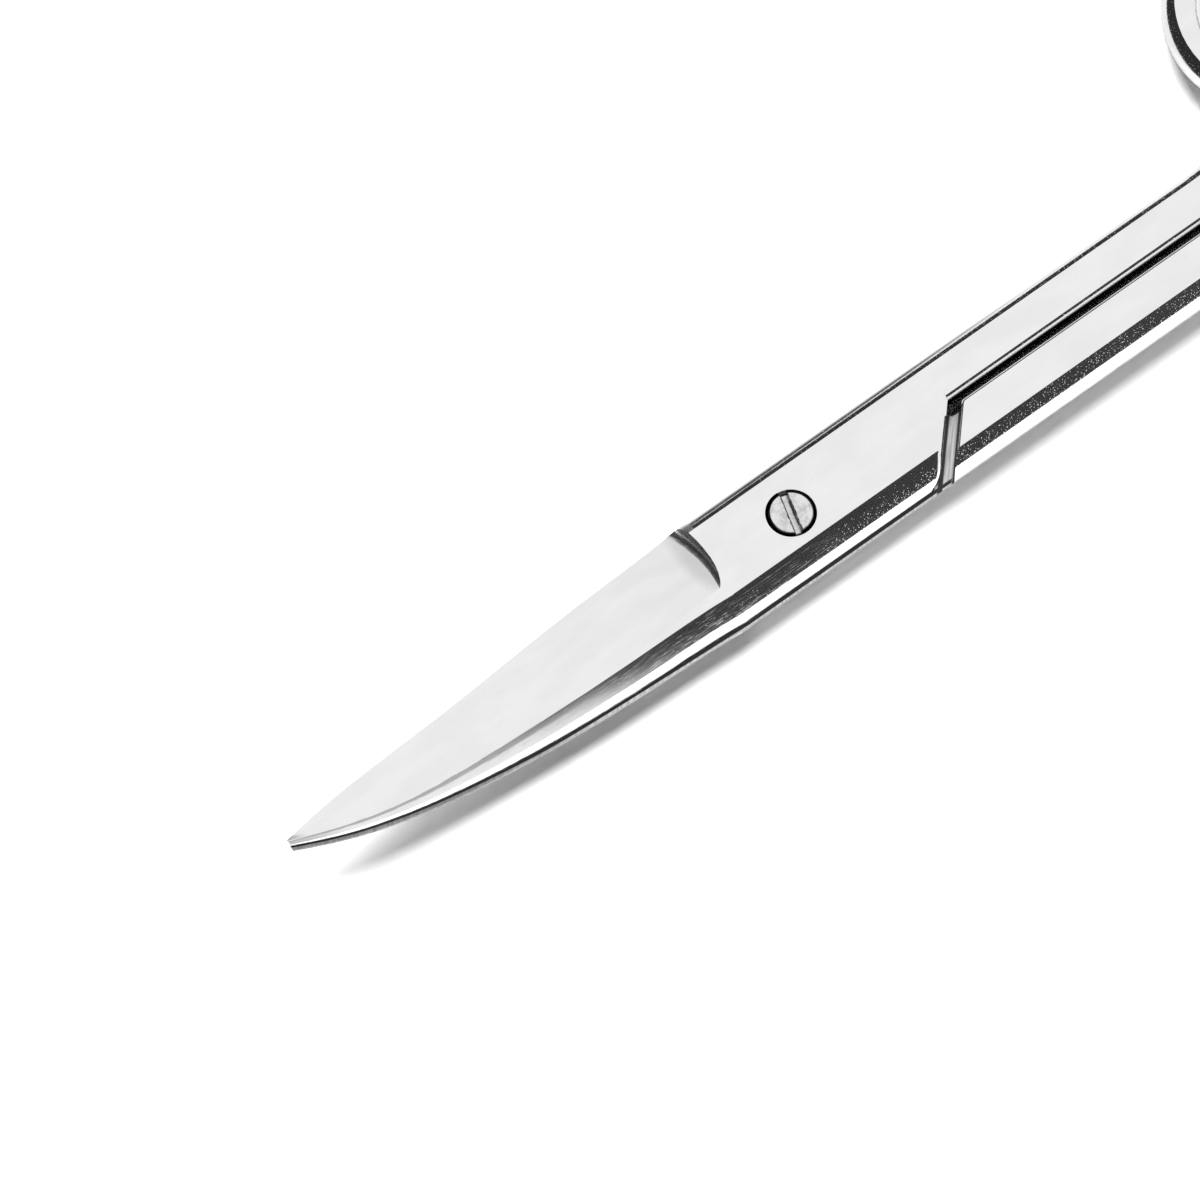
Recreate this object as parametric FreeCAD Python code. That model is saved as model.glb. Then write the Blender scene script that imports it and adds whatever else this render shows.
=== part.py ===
# Dissecting scissors: curved sharp blades, half-lapped screw joint, two finger rings.
# Two forged halves cross at a slotted screw. The pivot axis is the Z axis, +X runs along
# the shanks to the finger rings, +Y is the side of the upper half's ring, and the closed
# scissors rest with their flat underside at Z = 0. Millimetres.
import FreeCAD, Part
import math
import os

Vector = FreeCAD.Vector

# Stock: each half is as thick as the whole joint, and gives half of it to the lap
total_thickness = 5.1
layer_thickness = total_thickness / 2
lap_clearance = 0.06
interface_height = layer_thickness

# Shanks
shank_outer_y = 5.7
shank_gap = 0.84
shank_inner_y = shank_gap / 2
shank_inner_corner = 0.4
shank_end_x = 49.0
side_crease = 24.4

# Lap joint
lap_spine_y = 5.3
lap_reach = 17.85
lap_angle = 47.0
lap_corner_radius = 3.0
lap_end_rounding = 0.5
notch_gap = 1.3
shoulder_rounding = 0.3

# Blades: station, half-width to the cutting edge, thickness at the ridge, width of the ridge
blade_stations = (
    (-9.0, 5.73, 2.55, 1.25),
    (-18.0, 5.28, 2.39, 0.50),
    (-28.0, 4.70, 2.08, 0.10),
    (-36.0, 3.96, 1.62, 0.06),
    (-42.5, 3.25, 1.14, 0.06),
    (-47.5, 2.49, 0.87, 0.06),
    (-51.2, 1.68, 0.72, 0.06),
    (-53.8, 0.95, 0.58, 0.06),
    (-55.3, 0.50, 0.47, 0.06),
)
edge_land = 0.35
edge_overhang = 0.4
spine_crease = 10.0
curve_start = 28.0
tip_rise = 2.82
tip_lean = 1.27

# Ricasso: the hollow, bulged step where the blade's grinding begins
ricasso_x = blade_stations[0][0]
ricasso_bulge = 0.62
ricasso_hollow = 0.8
ricasso_fall = 0.03
tip_x = blade_stations[-1][0]

# Finger rings
ring_center_x = 73.05
ring_center_y = 13.8
ring_outer_length = 33.0
ring_outer_width = 25.6
ring_end_radius = 10.9
ring_rim = 3.8
ring_thickness = 3.8
tail_join_share = 0.88
tail_curve = 2.2
tail_cover = 0.15
tail_end_corner = 1.3
tail_end_x = ring_center_x - ring_rim
tail_sections = 5

# Joint screw
screw_diameter = 3.0
screw_angle = 73.0
head_diameter = 4.05
head_height = 1.2
head_proud = 0.2
head_edge_chamfer = 0.12
slot_width = 0.63
slot_depth = 0.6
running_clearance = 0.05
sink_diameter = 4.7

UPPER = 1
LOWER = -1


def wire_of(*curves):
    return Part.Wire([curve.toShape() for curve in curves])


def line(start, end):
    return Part.LineSegment(start, end)


def bend(start, corner, end):
    """Round turn between two straight directions that would meet at the corner."""
    turn = (corner - start).getAngle(end - corner)
    pull = 4 / 3 * math.tan(turn / 4) / math.tan(turn / 2)
    curve = Part.BezierCurve()
    curve.setPoles([
        start,
        start + (corner - start) * pull,
        end + (corner - end) * pull,
        end,
    ])
    return curve


def side_bulge(height, crease):
    """Inset of a flat's edge from the bulged side, and height of the side's turning corner."""
    angle = math.radians(crease)
    inset = height * (1 - math.sin(angle)) / math.cos(angle)
    return inset, height - inset * math.tan(angle)


def side_arc(at, widest_y, inwards, height, crease):
    """Bulged side as an arc, from its widest line up to the edge of the flat."""
    radius = height / math.cos(math.radians(crease))
    halfway = math.radians(90 - crease) / 2
    inset, turn_z = side_bulge(height, crease)
    return Part.Arc(
        at(widest_y, 0),
        at(widest_y + inwards * radius * (1 - math.cos(halfway)), radius * math.sin(halfway)),
        at(widest_y + inwards * inset, height),
    )


def bar_section(x, inner_y, outer_y, half_height, corner):
    """Shank section: inner wall with rounded corners, two flats and a bulged outer side."""
    inset, turn_z = side_bulge(half_height, side_crease)
    flat_start = inner_y + corner
    flat_end = outer_y - inset
    wall_top = half_height - corner
    corner_middle = corner * (1 - math.sqrt(0.5))
    middle_y = inner_y + corner_middle
    middle_z = half_height - corner_middle

    def at(y, z):
        return Vector(x, y, z)

    return wire_of(
        line(at(inner_y, -wall_top), at(inner_y, wall_top)),
        Part.Arc(at(inner_y, wall_top), at(middle_y, middle_z), at(flat_start, half_height)),
        line(at(flat_start, half_height), at(flat_end, half_height)),
        Part.Arc(at(flat_end, half_height), at(outer_y, 0), at(flat_end, -half_height)),
        line(at(flat_end, -half_height), at(flat_start, -half_height)),
        Part.Arc(at(flat_start, -half_height), at(middle_y, -middle_z), at(inner_y, -wall_top)),
    )


def dish(side):
    """Solid beyond the inner faces, turned about the pivot so that open blades stay clear.

    The inner faces are flat out to curve_start and then rise along an arc to the tips.
    """
    offset = side * lap_clearance / 2
    outer_radius = -tip_x + total_thickness
    reach = -tip_x - curve_start
    arc_radius = reach ** 2 / (2 * tip_rise) + tip_rise / 2
    far = -side * 4 * total_thickness

    def at(radius, z):
        return Vector(radius, 0, z)

    def face_at(radius):
        past = radius - curve_start
        return at(radius, offset + arc_radius - math.sqrt(arc_radius ** 2 - past ** 2))

    start = face_at(curve_start)
    middle = face_at((curve_start + outer_radius) / 2)
    end = face_at(outer_radius)
    profile = wire_of(
        line(at(0, far), at(0, offset)),
        line(at(0, offset), start),
        Part.Arc(start, middle, end),
        line(end, at(outer_radius, far)),
        line(at(outer_radius, far), at(0, far)),
    )
    return Part.Face(profile).revolve(Vector(0, 0, 0), Vector(0, 0, 1), 360)


def blade_middle(x):
    """Sideways lean and upward rise of the blades' middle line at a station."""
    past = max(0.0, -x - curve_start)
    share = (past / (-tip_x - curve_start)) ** 2
    return tip_lean * share, tip_rise * share


def ridge_lines(half_width, thickness, ridge_width):
    """Spine of a blade section and the two sides of the narrow flat along its ridge."""
    ridge_inset, turn_z = side_bulge(thickness, spine_crease)
    spine_y = edge_overhang - half_width
    return spine_y, spine_y + ridge_inset, spine_y + ridge_inset + ridge_width


def blade_section(x, half_width, thickness, ridge_width, side):
    """Ground blade section: land of the cutting edge, ground face, ridge and round spine."""
    lean, rise = blade_middle(x)
    spine_y, ridge_y, ground_y = ridge_lines(half_width, thickness, ridge_width)
    root = -total_thickness

    def at(y, z):
        return Vector(x, lean + side * y, rise + side * z)

    return wire_of(
        line(at(spine_y, root), at(spine_y, 0)),
        side_arc(at, spine_y, 1, thickness, spine_crease),
        line(at(ridge_y, thickness), at(ground_y, thickness)),
        line(at(ground_y, thickness), at(half_width, edge_land)),
        line(at(half_width, edge_land), at(half_width, root)),
        line(at(half_width, root), at(spine_y, root)),
    )


def blade(side):
    sections = [blade_section(*station, side) for station in blade_stations]
    return Part.makeLoft(sections, True, False).cut(dish(side))


def lap_line():
    """Slanted end of the lap: where it crosses the axis, its direction and its normal."""
    angle = math.radians(lap_angle)
    direction = Vector(math.cos(angle), math.sin(angle), 0)
    normal = Vector(math.sin(angle), -math.cos(angle), 0)
    return Vector(lap_reach, 0, 0), direction, normal


def lap_wall_point():
    """Inner corner of the notch, where the slanted end meets the shank's inner wall."""
    crossing, direction, normal = lap_line()
    return crossing + direction * (shank_inner_y / direction.y)


def wall_edges(shape, point, normal, side):
    """Edges where an upright wall through the point meets the outer face of one side."""
    found = []
    for edge in shape.Edges:
        ends = [vertex.Point for vertex in edge.Vertexes]
        in_wall = all(abs((end - point).dot(normal)) < lap_clearance / 2 for end in ends)
        outer = all(side * end.z > layer_thickness / 2 for end in ends)
        if in_wall and outer:
            found.append(edge)
    return found


def notch():
    """Space beyond the lap's slanted end, which turns into the spine through a corner."""
    crossing, direction, normal = lap_line()
    wall_point = lap_wall_point()
    center_y = lap_corner_radius - lap_spine_y
    center_x = crossing.x + (center_y * direction.x - lap_corner_radius) / direction.y
    center = Vector(center_x, center_y, 0)
    corner_start = center + normal * lap_corner_radius
    corner_end = center - Vector(0, lap_corner_radius, 0)
    halfway = (normal - Vector(0, 1, 0)).normalize()
    corner_middle = center + halfway * lap_corner_radius
    far_x = wall_point.x + total_thickness
    far_y = -lap_spine_y - total_thickness
    outline = wire_of(
        line(wall_point, corner_start),
        Part.Arc(corner_start, corner_middle, corner_end),
        line(corner_end, Vector(corner_end.x, far_y, 0)),
        line(Vector(corner_end.x, far_y, 0), Vector(far_x, far_y, 0)),
        line(Vector(far_x, far_y, 0), Vector(far_x, wall_point.y, 0)),
        line(Vector(far_x, wall_point.y, 0), wall_point),
    )
    space = Part.Face(outline).extrude(Vector(0, 0, 4 * total_thickness))
    space.translate(Vector(0, 0, -2 * total_thickness))
    return space


def ricasso_wheel():
    """Grinding wheel that leaves a hollow step with a bulged front at the blade's root."""
    x, half_width, thickness, ridge_width = blade_stations[0]
    spine_y, ridge_y, ground_y = ridge_lines(half_width, thickness, ridge_width)
    slope = (layer_thickness - edge_land) / (half_width - ground_y)
    beyond_y = half_width + edge_land
    beyond_z = layer_thickness - slope * (beyond_y - ground_y)
    middle_y = (ground_y + half_width) / 2
    back_x = ricasso_x - 2 * ricasso_hollow
    front_x = ricasso_x + ricasso_bulge
    top = total_thickness

    # The wheel's underside follows the ground face and falls slightly below it to the back
    reach = 4 * ricasso_hollow
    lift = Vector(back_x + reach, 0, ricasso_fall * (back_x + reach - ricasso_x))
    slab = Part.Face(Part.makePolygon([
        Vector(0, ground_y, layer_thickness) + lift,
        Vector(0, beyond_y, beyond_z) + lift,
        Vector(0, beyond_y, top) + lift,
        Vector(0, ground_y, top) + lift,
        Vector(0, ground_y, layer_thickness) + lift,
    ])).extrude(Vector(-reach, 0, -ricasso_fall * reach))
    plan = wire_of(
        Part.Arc(
            Vector(ricasso_x, ground_y, 0),
            Vector(front_x, middle_y, 0),
            Vector(ricasso_x, beyond_y, 0),
        ),
        line(Vector(ricasso_x, beyond_y, 0), Vector(back_x, beyond_y, 0)),
        line(Vector(back_x, beyond_y, 0), Vector(back_x, ground_y, 0)),
        line(Vector(back_x, ground_y, 0), Vector(ricasso_x, ground_y, 0)),
    )
    wheel = slab.common(Part.Face(plan).extrude(Vector(0, 0, 2 * top)))
    lower_front = [
        edge
        for edge in wheel.Edges
        if edge.BoundBox.XMax > ricasso_x + lap_clearance and edge.BoundBox.ZMax < top
    ]
    return wheel.makeFillet(ricasso_hollow, lower_front)


def joint_layer():
    """Upper layer of the joint, from the hollow of the ricasso to the lap's slanted end."""
    height = layer_thickness
    root = -height
    spine_y = -lap_spine_y
    ridge_inset, spine_turn_z = side_bulge(height, spine_crease)
    outer_inset, outer_turn_z = side_bulge(height, side_crease)
    ridge_y = spine_y + ridge_inset
    flat_end = shank_outer_y - outer_inset
    start_x = ricasso_x - ricasso_hollow

    def at(y, z):
        return Vector(start_x, y, z)

    section = wire_of(
        line(at(spine_y, root), at(spine_y, 0)),
        side_arc(at, spine_y, 1, height, spine_crease),
        line(at(ridge_y, height), at(flat_end, height)),
        side_arc(at, shank_outer_y, -1, height, side_crease),
        line(at(shank_outer_y, 0), at(shank_outer_y, root)),
        line(at(shank_outer_y, root), at(spine_y, root)),
    )
    length = lap_wall_point().x - start_x
    layer = Part.Face(section).extrude(Vector(length, 0, 0))

    # Only the hollow itself reaches over the blade: beside it the blade's own section starts
    blade_ridge = ridge_lines(*blade_stations[0][1:])[2]
    beside = prism(
        [
            (start_x - length, spine_y - length),
            (ricasso_x, spine_y - length),
            (ricasso_x, blade_ridge),
            (start_x - length, blade_ridge),
        ],
        -total_thickness,
        2 * total_thickness,
    )
    layer = layer.cut(notch()).cut(ricasso_wheel()).cut(beside).cut(dish(UPPER))
    crossing, direction, normal = lap_line()
    end_edges = wall_edges(layer, crossing, normal, UPPER)
    return layer.makeFillet(lap_end_rounding, end_edges)


def prism(points, z_low, z_high):
    """Upright prism over a plan polygon."""
    loop = [Vector(x, y, z_low) for x, y in points]
    face = Part.Face(Part.makePolygon(loop + loop[:1]))
    return face.extrude(Vector(0, 0, z_high - z_low))


def shank():
    """Straight shank, with the shoulder that faces the other half's lap beneath."""
    crossing, direction, normal = lap_line()
    wall_x = lap_wall_point().x
    shoulder_x = lap_reach + notch_gap / normal.x
    start_x = shoulder_x - 2 * shank_outer_y
    section = Part.Face(bar_section(
        start_x, shank_inner_y, shank_outer_y, layer_thickness, shank_inner_corner
    ))
    bar = section.extrude(Vector(shank_end_x - start_x, 0, 0))

    # Above the lap the joint layer takes the place of the bar
    past_y = 2 * shank_outer_y
    behind_x = start_x - shank_outer_y
    mouth = lap_clearance / 2
    layer_space = prism(
        [(behind_x, -past_y), (wall_x, -past_y), (wall_x, past_y), (behind_x, past_y)],
        mouth,
        total_thickness,
    )

    # Below it the other half's lap, mirrored, leaves a notch of its own
    run = past_y / math.tan(math.radians(lap_angle))
    lap_space = prism(
        [
            (behind_x, -past_y),
            (shoulder_x + run, -past_y),
            (shoulder_x - run, past_y),
            (behind_x, past_y),
        ],
        -total_thickness,
        mouth,
    )
    bar = bar.cut(layer_space).cut(lap_space)
    shoulder_normal = Vector(normal.x, -normal.y, 0)
    shoulder_edges = wall_edges(bar, Vector(shoulder_x, 0, 0), shoulder_normal, LOWER)
    return bar.makeFillet(shoulder_rounding, shoulder_edges)


def ring_arcs():
    """Middle line of the rim as four arcs: end and side radius, and shifts of their centres."""
    half_length = (ring_outer_length - ring_rim) / 2
    half_width = (ring_outer_width - ring_rim) / 2
    end_radius = ring_end_radius - ring_rim / 2
    end_shift = half_length - end_radius
    side_radius = (end_shift ** 2 + half_width ** 2 - end_radius ** 2) / (
        2 * (half_width - end_radius)
    )
    side_shift = side_radius - half_width
    return end_radius, end_shift, side_radius, side_shift


def rim_y(x, outwards):
    """Near side of the rim at a station, on a line so far outwards of its middle line."""
    end_radius, end_shift, side_radius, side_shift = ring_arcs()
    end_x = ring_center_x - end_shift
    reach = end_radius + outwards
    split_x = end_x - reach * end_shift / math.hypot(end_shift, side_shift)
    if x < split_x:
        return ring_center_y - math.sqrt(reach ** 2 - (end_x - x) ** 2)
    reach = side_radius + outwards
    return ring_center_y + side_shift - math.sqrt(reach ** 2 - (ring_center_x - x) ** 2)


def tail_stretch(start_x, end_x, outer_line):
    """Stretch of the shank's tail whose outer side follows the given line."""
    full_length = tail_end_x - shank_end_x
    end_inner_y = rim_y(tail_end_x, ring_rim / 2 - tail_cover)
    end_height = ring_thickness / 2 - tail_cover
    sections = []
    for station in range(tail_sections):
        x = start_x + (end_x - start_x) * station / (tail_sections - 1)
        along = (x - shank_end_x) / full_length
        inner_y = shank_inner_y + (end_inner_y - shank_inner_y) * along ** 2
        corner = shank_inner_corner + (tail_end_corner - shank_inner_corner) * along ** 2
        ease = along ** 2 * (3 - 2 * along)
        half_height = layer_thickness + (end_height - layer_thickness) * ease
        sections.append(bar_section(x, inner_y, outer_line(x), half_height, corner))
    return Part.makeLoft(sections, True, False)


def shank_tail():
    """Shank flaring into the end of the ring and then running on inside its rim."""
    end_radius, end_shift, side_radius, side_shift = ring_arcs()
    join_x = ring_center_x - end_shift - tail_join_share * end_radius
    join_y = rim_y(join_x, 0)
    buried = ring_rim / 2 - tail_cover

    def flare(x):
        share = (x - shank_end_x) / (join_x - shank_end_x)
        return shank_outer_y + (join_y - shank_outer_y) * share ** tail_curve

    def inside_rim(x):
        return rim_y(x, -buried * (x - join_x) / (tail_end_x - join_x))

    return tail_stretch(shank_end_x, join_x, flare).fuse(
        tail_stretch(join_x, tail_end_x, inside_rim)
    )


def rim_stretch(center_x, center_y, radius, start_angle, sweep):
    """One arc of the ring's rim, turned about the centre of its middle line."""
    half_rim = ring_rim / 2
    half_thick = ring_thickness / 2
    inset, turn_z = side_bulge(half_thick, side_crease)
    half_flat = half_rim - inset
    axis = Vector(0, 0, 1)

    def at(across, z):
        return Vector(radius + across, 0, z)

    section = Part.Face(wire_of(
        line(at(-half_flat, half_thick), at(half_flat, half_thick)),
        bend(at(half_flat, half_thick), at(half_rim, turn_z), at(half_rim, 0)),
        bend(at(half_rim, 0), at(half_rim, -turn_z), at(half_flat, -half_thick)),
        line(at(half_flat, -half_thick), at(-half_flat, -half_thick)),
        bend(at(-half_flat, -half_thick), at(-half_rim, -turn_z), at(-half_rim, 0)),
        bend(at(-half_rim, 0), at(-half_rim, turn_z), at(-half_flat, half_thick)),
    ))
    section.rotate(Vector(0, 0, 0), axis, start_angle)
    center = Vector(center_x, center_y, 0)
    section.translate(center)
    return section.revolve(center, axis, sweep)


def ring():
    """Finger ring: an oval of four arcs with a rounded rim."""
    end_radius, end_shift, side_radius, side_shift = ring_arcs()
    turn = math.degrees(math.atan2(side_shift, end_shift))
    end_sweep = 2 * turn
    side_sweep = 180 - 2 * turn
    x = ring_center_x
    y = ring_center_y
    stretches = [
        rim_stretch(x + end_shift, y, end_radius, -turn, end_sweep),
        rim_stretch(x, y - side_shift, side_radius, turn, side_sweep),
        rim_stretch(x - end_shift, y, end_radius, 180 - turn, end_sweep),
        rim_stretch(x, y + side_shift, side_radius, 180 + turn, side_sweep),
    ]
    return stretches[0].fuse(stretches[1:])


def half(side, hole):
    """One forged half: joint layer, blade, shank and ring, with its hole for the screw."""
    middle = joint_layer().fuse(shank()).removeSplitter()
    handle = shank_tail().fuse(ring())
    if side == LOWER:
        middle.rotate(Vector(0, 0, 0), Vector(1, 0, 0), 180)
        handle.rotate(Vector(0, 0, 0), Vector(1, 0, 0), 180)
    forged = middle.fuse(blade(side)).removeSplitter()
    return forged.cut(hole).fuse(handle)


def screw():
    """Slotted joint screw, threaded into the lower half and finished flush beneath it."""
    head_bottom = layer_thickness - head_height
    head_top = layer_thickness + head_proud
    head_radius = head_diameter / 2
    body = Part.makeCylinder(
        screw_diameter / 2, head_bottom + layer_thickness, Vector(0, 0, -layer_thickness)
    )
    head = Part.makeCylinder(
        head_radius, head_top - head_edge_chamfer - head_bottom, Vector(0, 0, head_bottom)
    )
    crown = Part.makeCone(
        head_radius,
        head_radius - head_edge_chamfer,
        head_edge_chamfer,
        Vector(0, 0, head_top - head_edge_chamfer),
    )
    slot = Part.makeBox(
        2 * head_diameter,
        slot_width,
        2 * slot_depth,
        Vector(-head_diameter, -slot_width / 2, head_top - slot_depth),
    )
    slot.rotate(Vector(0, 0, 0), Vector(0, 0, 1), screw_angle)
    return body.fuse([head, crown]).cut(slot).removeSplitter()


def screw_seat():
    """Stepped hole of the upper half, with a countersunk mouth around the head."""
    seat_radius = head_diameter / 2 + running_clearance
    seat_bottom = layer_thickness - head_height - running_clearance
    sink_depth = sink_diameter / 2 - seat_radius
    bore = Part.makeCylinder(
        screw_diameter / 2 + running_clearance,
        4 * layer_thickness,
        Vector(0, 0, -2 * layer_thickness),
    )
    seat = Part.makeCylinder(seat_radius, 2 * layer_thickness, Vector(0, 0, seat_bottom))
    mouth = Part.makeCone(
        seat_radius,
        sink_diameter / 2 + sink_depth,
        2 * sink_depth,
        Vector(0, 0, layer_thickness - sink_depth),
    )
    return bore.fuse([seat, mouth])


def threaded_hole():
    return Part.makeCylinder(
        screw_diameter / 2, 4 * layer_thickness, Vector(0, 0, -2 * layer_thickness)
    )


pieces = {
    "upper_half": half(UPPER, screw_seat()),
    "lower_half": half(LOWER, threaded_hole()),
    "joint_screw": screw(),
}

os.makedirs("parts", exist_ok=True)
for name, shape in pieces.items():
    shape = shape.Solids[0] if len(shape.Solids) == 1 else shape
    shape.translate(Vector(0, 0, interface_height))
    shape.exportStep("parts/" + name + ".step")
    box = shape.optimalBoundingBox()
    print(
        name,
        "valid" if shape.isValid() else "not valid",
        len(shape.Solids),
        "solid",
        round(shape.Volume, 2),
        "mm3",
        [round(value, 2) for value in (box.XMin, box.XMax, box.YMin, box.YMax, box.ZMin, box.ZMax)],
    )
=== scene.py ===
import math
import bpy
from mathutils import Matrix, Vector

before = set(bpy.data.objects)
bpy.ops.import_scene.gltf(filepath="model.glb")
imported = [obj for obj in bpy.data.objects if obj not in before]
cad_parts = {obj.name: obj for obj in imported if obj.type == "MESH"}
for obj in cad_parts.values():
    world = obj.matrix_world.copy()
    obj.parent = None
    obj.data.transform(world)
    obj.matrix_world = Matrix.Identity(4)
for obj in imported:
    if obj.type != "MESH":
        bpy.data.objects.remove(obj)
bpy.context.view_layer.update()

bpy.context.scene.view_settings.view_transform = "Standard"

# Camera: a long lens on the blades' side, aimed so that the rings leave the picture. Its
# lengths, and those of the floor and the lamp, are in metres.
CAMERA_AZIMUTH = math.radians(-37.3)
CAMERA_ELEVATION = math.radians(66.5)
CAMERA_DISTANCE = 1.0
SENSOR_WIDTH = 36
VIEW_WIDTH = 0.1081
SCREW_HEAD = Vector((0, 0, 0.0051))
SCREW_FROM_CENTER = (0.15925, 0.0725)

# Studio that the steel reflects. Tilt is in degrees from straight up, across the scissors:
# positive towards the upper half's ring side. Run is the direction's part along +X, and
# the edge of the light at the blade's end slants with the tilt.
OVERHEAD_TILT_NEAR = (-3, 3)
OVERHEAD_TILT_FAR = (50, 58)
OVERHEAD_RUN = (-0.28, -0.10)
BLADE_SIDE_RUN = (0.065, 0.165)
BLADE_SIDE_SLANT = 0.08
RING_SIDE_RUN = (0.30, 0.46)
DARK_LEVEL = 0.03
LIGHT_LEVEL = 1.0
FILL_LEVEL = 0.23

# Floor, whose far side gets painted shade that shows only in the steel's reflections
FLOOR_HALF_SIZE = 3.0
FLOOR_COLOR = 0.95
REFLECTED_SHADE_Y = (-0.003, 0.022)
REFLECTED_SHADE_END_X = (0.02, 0.04)
REFLECTED_SHADE_END_LEVEL = 0.35

# Lamp that lights the floor and throws the shadow
LAMP_DIRECTION = Vector((0.62, 0.79, 1)).normalized()
LAMP_DISTANCE = 1.2
LAMP_WIDTH = 1.4
LAMP_POWER = 68

# Forms of the scissors in millimetres, as in the CAD model. A blade station is its X, the
# half-width to the cutting edge and the height of the ridge above the faces that meet.
INTERFACE_Z = 2.55
CURVE_START = 28.0
CURVE_REACH = 27.3
CURVE_RISE = 2.82
CURVE_LEAN = 1.27
BLADE_STATIONS = (
    (-9.0, 5.73, 2.55),
    (-18.0, 5.28, 2.39),
    (-28.0, 4.70, 2.08),
    (-36.0, 3.96, 1.62),
    (-42.5, 3.25, 1.14),
    (-47.5, 2.49, 0.87),
    (-51.2, 1.68, 0.72),
    (-53.8, 0.95, 0.58),
    (-55.3, 0.50, 0.47),
)
BLADE_ROOT = BLADE_STATIONS[0][0]
SPINE_CREASE = math.radians(10)
SIDE_TAPER = 0.0026
LAP_ANGLE = math.radians(47)
LAP_REACH = 17.85
NOTCH_GAP = 1.3
GAP_HALF_WIDTH = 0.42
GAP_START_X = 16.0
HEAD_RADIUS = 2.025
SINK_RADIUS = 2.35
SLOT_ANGLE = math.radians(73)
SLOT_HALF_WIDTH = 0.315

# How level a face lies, by its normal's upright part: from rounded sides to flats
FLAT_LEVEL = (0.93, 0.965)
NEARLY_FLAT_LEVEL = (0.80, 0.90)
SPINE_FACING = -0.05
SPINE_START_X = (BLADE_ROOT - 0.05, BLADE_ROOT + 0.02)

# Values between which most of a noise pattern lies
WIDE_NOISE = (0.3, 0.7)
NARROW_NOISE = (0.35, 0.65)

# Roughness and brightness of the polish and of the ground faces
MIRROR_ROUGHNESS = 0.11
HOLLOW_ROUGHNESS = 0.32
SPECK_ROUGHNESS = 0.50
SCRATCH_ROUGHNESS = 0.36
LAP_ROUGHNESS = 0.40
POLISH_BRIGHTNESS = (0.815, 0.86)
LAP_HEIGHT = (0.06, 0.08)
LAP_BRIGHTNESS = (0.56, 0.85)
# Painted shade: the laps darken towards the tip, like the shadowed floor they reflect
LAP_TIP_SHADE = (1.0, 0.42)
LAP_TIP_SHADE_PAST_ROOT = (14.0, 32.0)
# The lower blade's ground edge near the tip: real ground lines, painted dark as shade from the
# floor it reflects
GROUND_EDGE_HEIGHT = (-0.04, 0.0)
GROUND_EDGE_X = (-46.0, -30.0)
GROUND_EDGE_LINES_AND_SHADE = (0.28, 0.42)
# Brightness of the painted shade in recesses, creases, gaps and at the tips
PAINTED_SHADE_BRIGHTNESS = 0.06

# Specks and scratches: shares before and behind the joint, and on faces of each kind. A
# speck pattern is its cells per millimetre, the speck's radius in cells and its share.
BEHIND_JOINT_X = (-1.0, 5.0)
SPECK_SHARES = (0.10, 0.85)
FLAT_SPECK_SHARE = 0.05
NEARLY_FLAT_SPECK_SHARE = 0.3
SPECK_HEIGHT = (0.2, 0.6)
SPECK_PATTERNS = ((3.4, 0.23, 0.6), (6.0, 0.30, 0.7))
SCRATCH_SHARES = (0.8, 0.0)
SCRATCH_NOISE = (0.50, 0.72)

# Ricasso: its hollow, and the lens of painted shade on the blade before it
RICASSO_X = (-10.4, -8.0)
RICASSO_Y = (-2.2, -1.8)
LENS_MIDDLE_Y = 1.4
LENS_BOW = 0.045
LENS_START_X = (-11.3, -9.7)
LENS_END_X = (-8.3, -8.0)
LENS_Y = (-3.0, -1.0)
LENS_FLAT_LEVEL = (0.985, 0.993)
LENS_SHADE = 0.80

# Painted shade around the screw head, in the gap between the shanks, in the notch, along the seam
# and the ridge, and at the tips
RECESS_SHADE_RADIUS = (HEAD_RADIUS, SINK_RADIUS - 0.04)
GAP_MASK_X = (GAP_START_X - 1.0, GAP_START_X)
GAP_MASK_Y = (GAP_HALF_WIDTH + 0.04, GAP_HALF_WIDTH + 0.18)
GAP_MASK_HEIGHT = (1.75, 2.15)
NOTCH_SHADE = ((-0.10, 0.22, 0.14), (NOTCH_GAP - 0.16, NOTCH_GAP + 0.10, 0.12))
SEAM_FROM_EDGE = (0.23, 0.50)
SEAM_SOFTNESS = 0.06
SEAM_NARROWING = 0.1
SEAM_NARROWING_PAST_ROOT = (20.0, 36.0)
SEAM_HEIGHT = (0.3, 0.4)
SEAM_END_X = (14.0, 15.0)
RIDGE_LINE_SHARE = (0.88, 0.95)
RIDGE_LINE_PAST_ROOT = (14.0, 22.0)
RIDGE_LINE_STRENGTH = 0.5
TIP_END_FACING = (-0.9, -0.8)
TIP_END_X = (-55.0, -54.0)
TIP_END_STRENGTH = 0.7
TIP_FADE_X = (-55.3, -49.0)
TIP_FADE_STRENGTH = 0.40

# Burnished line along the edges of the gap
BURNISH_HEIGHT = (1.88, 2.42)
BURNISH_X = (GAP_START_X, GAP_START_X + 1.0)
BURNISH_Y = (GAP_HALF_WIDTH + 0.3, GAP_HALF_WIDTH + 0.35)

# Screw head
HEAD_BRIGHTNESS = (0.55, 0.86)
HEAD_ROUGHNESS = (0.24, 0.39)
# Dark brightness along the slot's edges, and painted shade on the head's rim
HEAD_DARK_BRIGHTNESS = 0.07
SLOT_BAND_WANDER = 0.06
SLOT_BAND_MIDDLE = SLOT_HALF_WIDTH + 0.03
SLOT_BAND_REACH = (0.05, 0.11)
RIM_SHADE_RADIUS = (HEAD_RADIUS - 0.14, HEAD_RADIUS - 0.02)
DENT_DEPTH = 2e-5


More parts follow.
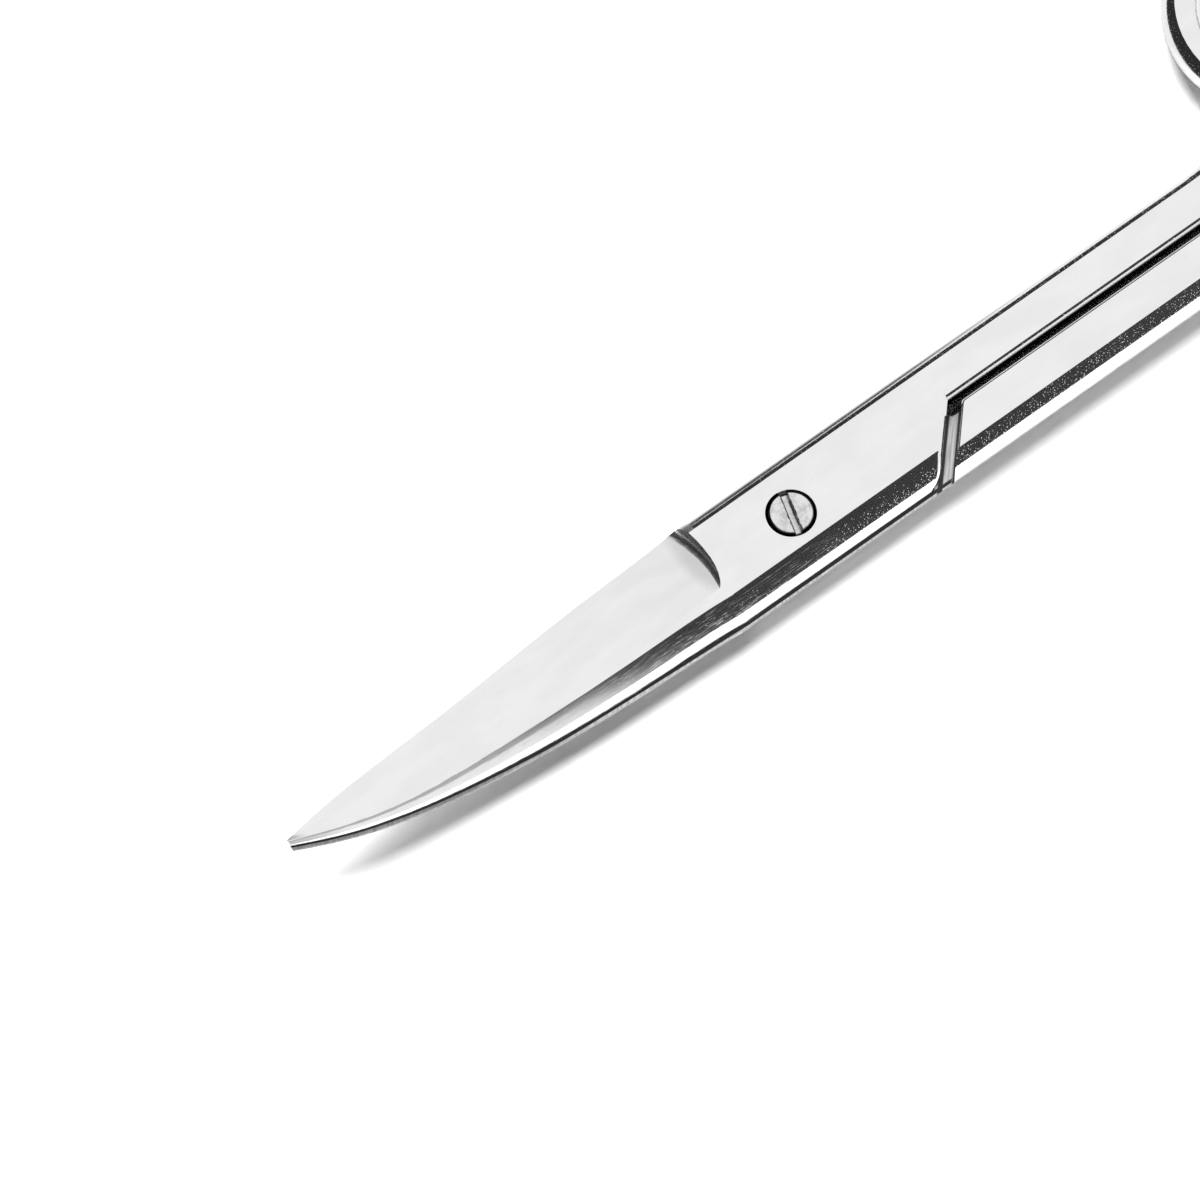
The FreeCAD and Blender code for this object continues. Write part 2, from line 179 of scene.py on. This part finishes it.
class Tree:
    """Node tree with short calls for the nodes that the materials use."""

    def __init__(self, owner):
        owner.use_nodes = True
        self.nodes = owner.node_tree.nodes
        self.links = owner.node_tree.links

    def feed(self, socket, value):
        if isinstance(value, (int, float, tuple)):
            socket.default_value = value
        else:
            self.links.new(value, socket)

    def add(self, kind, **settings):
        node = self.nodes.new("ShaderNode" + kind)
        for name, value in settings.items():
            setattr(node, name, value)
        return node

    def math(self, operation, *values):
        node = self.add("Math", operation=operation)
        for socket, value in zip(node.inputs, values):
            self.feed(socket, value)
        return node.outputs[0]

    def chain(self, operation, values):
        result = values[0]
        for value in values[1:]:
            result = self.math(operation, result, value)
        return result

    def product(self, *values):
        return self.chain("MULTIPLY", values)

    def sum(self, *values):
        return self.chain("ADD", values)

    def highest(self, *values):
        return self.chain("MAXIMUM", values)

    def minus(self, first, second):
        return self.math("SUBTRACT", first, second)

    def magnitude(self, value):
        return self.math("ABSOLUTE", value)

    def ramp(self, value, low, high, out_low=0.0, out_high=1.0):
        """Smooth change from one value to another as the input goes from low to high."""
        node = self.add("MapRange", interpolation_type="SMOOTHSTEP")
        self.feed(node.inputs["Value"], value)
        self.feed(node.inputs["From Min"], low)
        self.feed(node.inputs["From Max"], high)
        self.feed(node.inputs["To Min"], out_low)
        self.feed(node.inputs["To Max"], out_high)
        return node.outputs["Result"]

    def falling(self, value, low, high):
        """Smooth fall from one at the low value to zero at the high value."""
        return self.ramp(value, low, high, 1.0, 0.0)

    def between(self, value, low, high, soft):
        """One between two values and zero beyond them, with soft edges."""
        return self.product(
            self.ramp(value, low - soft, low), self.falling(value, high, high + soft)
        )

    def curve(self, value, points):
        """Smooth curve through points, from the first one's place to the last one's."""
        start, end = points[0][0], points[-1][0]
        node = self.add("FloatCurve")
        curve = node.mapping.curves[0]
        places = [((place - start) / (end - start), height) for place, height in points]
        for spot in places[1:-1]:
            curve.points.new(*spot)
        curve.points[0].location = places[0]
        curve.points[len(places) - 1].location = places[-1]
        node.mapping.clip_max_y = max(height for place, height in points)
        node.mapping.update()
        share = self.add("MapRange")
        self.feed(share.inputs["Value"], value)
        self.feed(share.inputs["From Min"], start)
        self.feed(share.inputs["From Max"], end)
        self.feed(node.inputs["Value"], share.outputs["Result"])
        return node.outputs[0]

    def mix(self, factor, first, second):
        node = self.add("Mix", data_type="FLOAT")
        self.feed(node.inputs[0], factor)
        self.feed(node.inputs[2], first)
        self.feed(node.inputs[3], second)
        return node.outputs[0]

    def vector(self, *parts):
        node = self.add("CombineXYZ")
        for socket, part in zip(node.inputs, parts):
            self.feed(socket, part)
        return node.outputs[0]

    def vector_mix(self, factor, first, second):
        node = self.add("Mix", data_type="VECTOR")
        self.feed(node.inputs[0], factor)
        self.feed(node.inputs[4], first)
        self.feed(node.inputs[5], second)
        return node.outputs[1]

    def turn(self, normal, start, end):
        """Normal taken from the object's axes to the world's, or back."""
        node = self.add("VectorTransform", vector_type="NORMAL", convert_from=start)
        node.convert_to = end
        self.feed(node.inputs[0], normal)
        return node.outputs[0]

    def xyz(self, vector):
        node = self.add("SeparateXYZ")
        self.feed(node.inputs[0], vector)
        return node.outputs

    def radius(self, x, y):
        return self.math("SQRT", self.sum(self.math("POWER", x, 2.0), self.math("POWER", y, 2.0)))

    def gray(self, value):
        node = self.add("CombineColor")
        for socket in node.inputs:
            self.feed(socket, value)
        return node.outputs[0]

    def point(self, across=1.0, along=1.0, turn=0.0):
        """Place on the object in millimetres, stretched across or along a turned line."""
        node = self.add("Mapping", vector_type="TEXTURE")
        place = self.add("TexCoord")
        self.feed(node.inputs["Vector"], place.outputs["Object"])
        self.feed(node.inputs["Scale"], (0.001 / along, 0.001 / across, 0.001 / across))
        self.feed(node.inputs["Rotation"], (0.0, 0.0, turn))
        return node.outputs["Vector"]

    def noise(self, vector, scale=1.0, detail=2.0, roughness=0.5):
        node = self.add("TexNoise")
        self.feed(node.inputs["Vector"], vector)
        self.feed(node.inputs["Scale"], scale)
        self.feed(node.inputs["Detail"], detail)
        self.feed(node.inputs["Roughness"], roughness)
        return node.outputs["Fac"]

    def specks(self, vector, scale, radius, share):
        """Small spots, one in each of a share of the cells of a cell pattern."""
        node = self.add("TexVoronoi")
        self.feed(node.inputs["Vector"], vector)
        self.feed(node.inputs["Scale"], scale)
        spot = self.falling(node.outputs["Distance"], 0.5 * radius, radius)
        split = self.add("SeparateColor")
        self.feed(split.inputs[0], node.outputs["Color"])
        return self.product(spot, self.math("LESS_THAN", split.outputs[0], share))

    def bump(self, height, distance):
        node = self.add("Bump")
        self.feed(node.inputs["Strength"], 1.0)
        self.feed(node.inputs["Distance"], distance)
        self.feed(node.inputs["Height"], height)
        return node.outputs["Normal"]


def place_camera():
    """Camera from its two angles, with the screw head at its place in the picture."""
    level_part = math.cos(CAMERA_ELEVATION)
    back = Vector((
        math.sin(CAMERA_AZIMUTH) * level_part,
        -math.cos(CAMERA_AZIMUTH) * level_part,
        math.sin(CAMERA_ELEVATION),
    ))
    right = Vector((math.cos(CAMERA_AZIMUTH), math.sin(CAMERA_AZIMUTH), 0))
    up = back.cross(right)
    data = bpy.data.cameras.new("camera")
    data.sensor_width = SENSOR_WIDTH
    data.lens = CAMERA_DISTANCE / VIEW_WIDTH * SENSOR_WIDTH
    data.clip_start = 0.01
    data.clip_end = 20
    camera = bpy.data.objects.new("camera", data)
    bpy.context.scene.collection.objects.link(camera)
    target = SCREW_HEAD - (right * SCREW_FROM_CENTER[0] + up * SCREW_FROM_CENTER[1]) * VIEW_WIDTH
    turn = Matrix((right, up, back)).transposed().to_4x4()
    camera.matrix_world = Matrix.Translation(target + back * CAMERA_DISTANCE) @ turn
    bpy.context.scene.camera = camera


def set_world():
    """White to the camera, a studio of lights and dark to the steel, and a faint fill."""
    world = bpy.data.worlds.new("studio")
    bpy.context.scene.world = world
    tree = Tree(world)
    x, y, z = tree.xyz(tree.add("TexCoord").outputs["Generated"])
    tilt = tree.product(tree.math("ARCTAN2", y, z), 180 / math.pi)
    overhead = tree.product(
        tree.ramp(tilt, *OVERHEAD_TILT_NEAR),
        tree.falling(tilt, *OVERHEAD_TILT_FAR),
        tree.ramp(x, *OVERHEAD_RUN),
    )
    blade_run = tree.sum(x, tree.product(tilt, BLADE_SIDE_SLANT / 90))
    blade_end = tree.product(
        tree.falling(tilt, *OVERHEAD_TILT_NEAR), tree.falling(blade_run, *BLADE_SIDE_RUN)
    )
    light = tree.highest(overhead, blade_end, tree.ramp(x, *RING_SIDE_RUN))
    reflected = tree.ramp(light, 0.0, 1.0, DARK_LEVEL, LIGHT_LEVEL)
    path = tree.add("LightPath")
    strength = tree.sum(
        tree.product(reflected, path.outputs["Is Glossy Ray"]),
        path.outputs["Is Camera Ray"],
        tree.product(path.outputs["Is Diffuse Ray"], FILL_LEVEL),
    )
    background = tree.nodes["Background"]
    tree.feed(background.inputs["Strength"], strength)
    tree.feed(background.inputs["Color"], (1.0, 1.0, 1.0, 1.0))


def add_floor():
    """Plain pale floor at Z = 0, with painted shade on its far side that only the steel's
    reflections show.
    """
    mesh = bpy.data.meshes.new("floor")
    size = FLOOR_HALF_SIZE
    corners = [(-size, -size, 0), (size, -size, 0), (size, size, 0), (-size, size, 0)]
    mesh.from_pydata(corners, [], [(0, 1, 2, 3)])
    floor = bpy.data.objects.new("floor", mesh)
    bpy.context.scene.collection.objects.link(floor)
    material = bpy.data.materials.new("floor_white")
    tree = Tree(material)
    shader = tree.nodes["Principled BSDF"]
    shader.inputs["Roughness"].default_value = 1.0
    shader.inputs["Specular IOR Level"].default_value = 0.0
    position = tree.xyz(tree.add("NewGeometry").outputs["Position"])
    # Painted shade: for glossy rays only, the floor's colour darkens on its far side, a painted
    # dark reflection in the steel
    shade = tree.ramp(position["Y"], *REFLECTED_SHADE_Y)
    shade_in_steel = tree.product(shade, tree.add("LightPath").outputs["Is Glossy Ray"])
    reflected_shade_level = tree.ramp(position["X"], *REFLECTED_SHADE_END_X, DARK_LEVEL, REFLECTED_SHADE_END_LEVEL)
    tree.feed(shader.inputs["Base Color"], tree.gray(tree.mix(shade_in_steel, FLOOR_COLOR, reflected_shade_level)))
    mesh.materials.append(material)


def add_lamp():
    """Round soft lamp that the steel doesn't mirror."""
    data = bpy.data.lights.new("overhead", "AREA")
    data.shape = "DISK"
    data.size = LAMP_WIDTH
    data.energy = LAMP_POWER
    lamp = bpy.data.objects.new("overhead", data)
    bpy.context.scene.collection.objects.link(lamp)
    lamp.location = LAMP_DIRECTION * LAMP_DISTANCE
    lamp.rotation_euler = LAMP_DIRECTION.to_track_quat("Z", "Y").to_euler()
    lamp.visible_glossy = False


class Form:
    """Where a point of the forgings lies, in millimetres, and how its surface faces."""

    def __init__(self, tree):
        self.place = tree.point()
        self.x, self.y, self.z = tree.xyz(self.place)
        self.faces = tree.add("NewGeometry").outputs["Normal"]
        turned = tree.xyz(tree.turn(self.faces, "WORLD", "OBJECT"))
        self.faces_x, self.faces_y, self.faces_z = turned
        self.level = tree.magnitude(self.faces_z)
        self.flat = tree.ramp(self.level, *FLAT_LEVEL)
        self.rounded = tree.falling(self.level, *FLAT_LEVEL)
        self.behind_joint = tree.ramp(self.x, *BEHIND_JOINT_X)
        self.past_root = tree.minus(BLADE_ROOT, self.x)
        self.from_middle = tree.magnitude(self.y)

        # The faces on which the halves meet rise and lean in an arc to the tips
        past_start = tree.minus(tree.product(self.x, -1.0), CURVE_START)
        bend = tree.product(tree.highest(past_start, 0.0), 1 / CURVE_REACH)
        bend = tree.math("POWER", bend, 2.0)
        self.lean = tree.product(bend, CURVE_LEAN)
        interface = tree.product(bend, CURVE_RISE)
        self.height = tree.minus(tree.minus(self.z, INTERFACE_Z), interface)
        self.from_interface = tree.magnitude(self.height)
        self.side = tree.math("SIGN", self.height)

        self.half_width = tree.curve(self.x, [(x, width) for x, width, tall in BLADE_STATIONS])
        self.ridge = tree.curve(self.x, [(x, tall) for x, width, tall in BLADE_STATIONS])

        # Masks: the laps, the ground edge of the lower blade, and the gap between the shanks
        self.lap = tree.product(tree.falling(self.from_interface, *LAP_HEIGHT), self.flat)
        self.ground_edge = tree.product(
            tree.falling(self.height, *GROUND_EDGE_HEIGHT),
            tree.falling(self.x, *GROUND_EDGE_X),
            self.rounded,
        )
        # The gap between the shanks: painted shade there, and no specks
        self.in_gap = tree.product(
            tree.falling(self.from_middle, *GAP_MASK_Y),
            tree.ramp(self.x, *GAP_MASK_X),
            tree.falling(self.from_interface, *GAP_MASK_HEIGHT),
            self.rounded,
        )


def speck_mask(tree, form):
    """Specks lie thickest behind the joint and on the shanks, and hardly show on the flats."""
    density = tree.product(
        tree.mix(form.behind_joint, *SPECK_SHARES),
        tree.mix(form.rounded, FLAT_SPECK_SHARE, 1.0),
        tree.ramp(form.level, *NEARLY_FLAT_LEVEL, 1.0, NEARLY_FLAT_SPECK_SHARE),
        tree.ramp(form.from_interface, *SPECK_HEIGHT),
        tree.minus(1.0, form.in_gap),
    )
    return tree.highest(*[
        tree.specks(form.place, scale, radius, tree.product(density, share))
        for scale, radius, share in SPECK_PATTERNS
    ])


def scratch_mask(tree, form):
    """Fine scratches run lengthwise on the blades' rounded sides."""
    lines = tree.noise(tree.point(across=14.0, along=0.3), roughness=0.7)
    share = tree.mix(form.behind_joint, *SCRATCH_SHARES)
    return tree.product(tree.ramp(lines, *SCRATCH_NOISE), form.rounded, share)


def hollow_mask(tree, form):
    """The hollow of the ricasso, which is less polished."""
    along = tree.between(form.x, *RICASSO_X, soft=0.3)
    return tree.product(along, tree.ramp(form.y, *RICASSO_Y), form.rounded)


def lens_mask(tree, form):
    """Painted shade in a lens on the blade before the ricasso, beside its ground hollow."""
    bow = tree.math("POWER", tree.minus(form.y, LENS_MIDDLE_Y), 2.0)
    from_bow = tree.minus(form.x, tree.product(bow, LENS_BOW))
    return tree.product(
        tree.ramp(from_bow, *LENS_START_X),
        tree.falling(form.x, *LENS_END_X),
        tree.falling(form.level, *LENS_FLAT_LEVEL),
        tree.ramp(form.y, *LENS_Y),
    )


def notch_mask(tree, form):
    """Painted shade on the lap face along both sides of the notch, beside its walls."""
    facing_y = tree.product(form.y, tree.math("SIGN", form.faces_z))
    into_notch = tree.minus(
        tree.product(tree.minus(form.x, LAP_REACH), math.sin(LAP_ANGLE)),
        tree.product(facing_y, math.cos(LAP_ANGLE)),
    )
    sides = tree.highest(*[tree.between(into_notch, *band) for band in NOTCH_SHADE])
    return tree.product(sides, form.lap)


def seam_mask(tree, form):
    """Painted shade on a blade's inner face beside the other half's spine, narrower to the tip.
    """
    outwards = tree.product(tree.minus(form.y, form.lean), tree.math("SIGN", form.faces_z))
    from_edge = tree.sum(form.half_width, outwards)
    near, far = SEAM_FROM_EDGE
    narrow = near + SEAM_NARROWING
    start = tree.ramp(form.past_root, *SEAM_NARROWING_PAST_ROOT, near, narrow)
    return tree.product(
        tree.ramp(from_edge, tree.sum(start, -SEAM_SOFTNESS), start),
        tree.falling(from_edge, far, far + SEAM_SOFTNESS),
        tree.falling(form.from_interface, *SEAM_HEIGHT),
        form.flat,
        tree.falling(form.x, *SEAM_END_X),
    )


def painted_shade_mask(tree, form):
    """Painted shade in the gap, around the screw head, in the notch, along edges and at the tips.
    """
    recess = tree.between(tree.radius(form.x, form.y), *RECESS_SHADE_RADIUS, soft=0.03)
    ridge_line = tree.product(
        tree.ramp(tree.math("DIVIDE", form.height, form.ridge), *RIDGE_LINE_SHARE),
        tree.math("LESS_THAN", form.faces_y, SPINE_FACING),
        tree.ramp(form.past_root, *RIDGE_LINE_PAST_ROOT, 0.0, RIDGE_LINE_STRENGTH),
    )
    tip_end = tree.product(
        tree.falling(form.faces_x, *TIP_END_FACING),
        tree.falling(form.x, *TIP_END_X),
        TIP_END_STRENGTH,
    )
    tip_fade = tree.product(tree.falling(form.x, *TIP_FADE_X), form.rounded, TIP_FADE_STRENGTH)
    notch = notch_mask(tree, form)
    seam = seam_mask(tree, form)
    return tree.highest(form.in_gap, recess, notch, seam, ridge_line, tip_end, tip_fade)


def steel_roughness(tree, form):
    """Mirror polish, duller in the hollow, on specks and scratches and where it is ground."""
    roughness = tree.mix(hollow_mask(tree, form), MIRROR_ROUGHNESS, HOLLOW_ROUGHNESS)
    roughness = tree.mix(speck_mask(tree, form), roughness, SPECK_ROUGHNESS)
    roughness = tree.mix(scratch_mask(tree, form), roughness, SCRATCH_ROUGHNESS)
    return tree.mix(tree.highest(form.lap, form.ground_edge), roughness, LAP_ROUGHNESS)


def steel_brightness(tree, form):
    """Cloudy polish, ground lines on the laps and on the lower blade's edge, and painted shade:
    on the laps and that edge towards the tip, in a lens before the ricasso, and in recesses,
    creases and gaps.
    """
    clouds = tree.noise(tree.point(along=0.4), scale=0.45, detail=3.0)
    bright = tree.ramp(clouds, *WIDE_NOISE, *POLISH_BRIGHTNESS)
    grinding = tree.noise(tree.point(across=6.0, along=0.3, turn=LAP_ANGLE))
    # Ground lines on the laps, with painted shade darkening them towards the tip
    lap_lines_and_shade = tree.product(
        tree.ramp(grinding, *NARROW_NOISE, *LAP_BRIGHTNESS),
        tree.ramp(form.past_root, *LAP_TIP_SHADE_PAST_ROOT, *LAP_TIP_SHADE),
    )
    bright = tree.mix(form.lap, bright, lap_lines_and_shade)
    # Ground lines on the lower blade's edge, with painted shade making them dark
    edge_lines = tree.noise(tree.point(across=1.0, along=7.0, turn=0.5), detail=1.0)
    edge_lines_and_shade = tree.ramp(edge_lines, *WIDE_NOISE, *GROUND_EDGE_LINES_AND_SHADE)
    bright = tree.mix(form.ground_edge, bright, edge_lines_and_shade)
    # Painted shade: a darker lens on the blade before the ricasso
    bright = tree.mix(lens_mask(tree, form), bright, tree.product(bright, LENS_SHADE))
    # Painted shade around the screw head, in the gap and the notch, along the seam and ridge, and
    # at the tips
    return tree.mix(painted_shade_mask(tree, form), bright, PAINTED_SHADE_BRIGHTNESS)


def steel_normal(tree, form):
    """Round spines without the mesh's facets, and a burnished line along the gap's edges."""
    radius = tree.product(form.ridge, 1 / math.cos(SPINE_CREASE))
    rounding = tree.math("MINIMUM", tree.math("DIVIDE", form.from_interface, radius), 1.0)
    level_part = tree.math("SQRT", tree.minus(1.0, tree.product(rounding, rounding)))
    spine_normal = tree.vector(
        tree.product(form.past_root, -SIDE_TAPER),
        tree.product(level_part, form.side, -1.0),
        tree.product(rounding, form.side),
    )
    on_spine = tree.product(
        tree.math("LESS_THAN", tree.product(form.faces_y, form.side), SPINE_FACING),
        tree.falling(form.x, *SPINE_START_X),
    )
    normal = tree.vector_mix(on_spine, form.faces, tree.turn(spine_normal, "OBJECT", "WORLD"))
    burnished = tree.product(
        tree.between(form.from_interface, *BURNISH_HEIGHT, soft=0.04),
        tree.ramp(form.x, *BURNISH_X),
        tree.falling(form.from_middle, *BURNISH_Y),
    )
    upward = tree.turn(tree.vector(0.0, 0.0, form.side), "OBJECT", "WORLD")
    return tree.vector_mix(burnished, normal, upward)


def polished_steel():
    """Mirror polish with cloudy wear, specks, lengthwise scratches and ground lap faces."""
    material = bpy.data.materials.new("polished_steel")
    tree = Tree(material)
    form = Form(tree)
    shader = tree.nodes["Principled BSDF"]
    shader.inputs["Metallic"].default_value = 1.0
    tree.feed(shader.inputs["Roughness"], steel_roughness(tree, form))
    tree.feed(shader.inputs["Base Color"], tree.gray(steel_brightness(tree, form)))
    tree.feed(shader.inputs["Normal"], steel_normal(tree, form))
    return material


def turned_screw():
    """Duller, flecked steel, darker along the slot's edges, with painted shade on the head's rim.
    """
    material = bpy.data.materials.new("turned_screw")
    tree = Tree(material)
    shader = tree.nodes["Principled BSDF"]
    shader.inputs["Metallic"].default_value = 1.0
    place = tree.point()
    spot = tree.xyz(place)
    flecks = tree.noise(place, scale=1.6, detail=4.0, roughness=0.65)
    bright = tree.ramp(flecks, *NARROW_NOISE, *HEAD_BRIGHTNESS)
    slot_place = tree.xyz(tree.point(turn=SLOT_ANGLE))
    from_slot = tree.magnitude(slot_place["Y"])
    from_slot_band = tree.magnitude(tree.minus(from_slot, SLOT_BAND_MIDDLE))
    wander = tree.noise(place, scale=1.3)
    wander = tree.ramp(wander, *WIDE_NOISE, -SLOT_BAND_WANDER, SLOT_BAND_WANDER)
    along_slot = tree.falling(tree.sum(from_slot_band, wander), *SLOT_BAND_REACH)
    # Painted shade on the head's rounded rim, beside the recess
    rim = tree.ramp(tree.radius(spot["X"], spot["Y"]), *RIM_SHADE_RADIUS)
    bright = tree.mix(tree.highest(along_slot, rim), bright, HEAD_DARK_BRIGHTNESS)
    tree.feed(shader.inputs["Base Color"], tree.gray(bright))
    tree.feed(shader.inputs["Roughness"], tree.ramp(flecks, *WIDE_NOISE, *HEAD_ROUGHNESS))
    dents = tree.noise(place, scale=2.2)
    tree.feed(shader.inputs["Normal"], tree.bump(dents, DENT_DEPTH))
    return material


place_camera()
set_world()
add_floor()
add_lamp()

steel = polished_steel()
dress = {"upper_half": steel, "lower_half": steel, "joint_screw": turned_screw()}
for name, material in dress.items():
    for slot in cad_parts[name].material_slots:
        slot.material = material
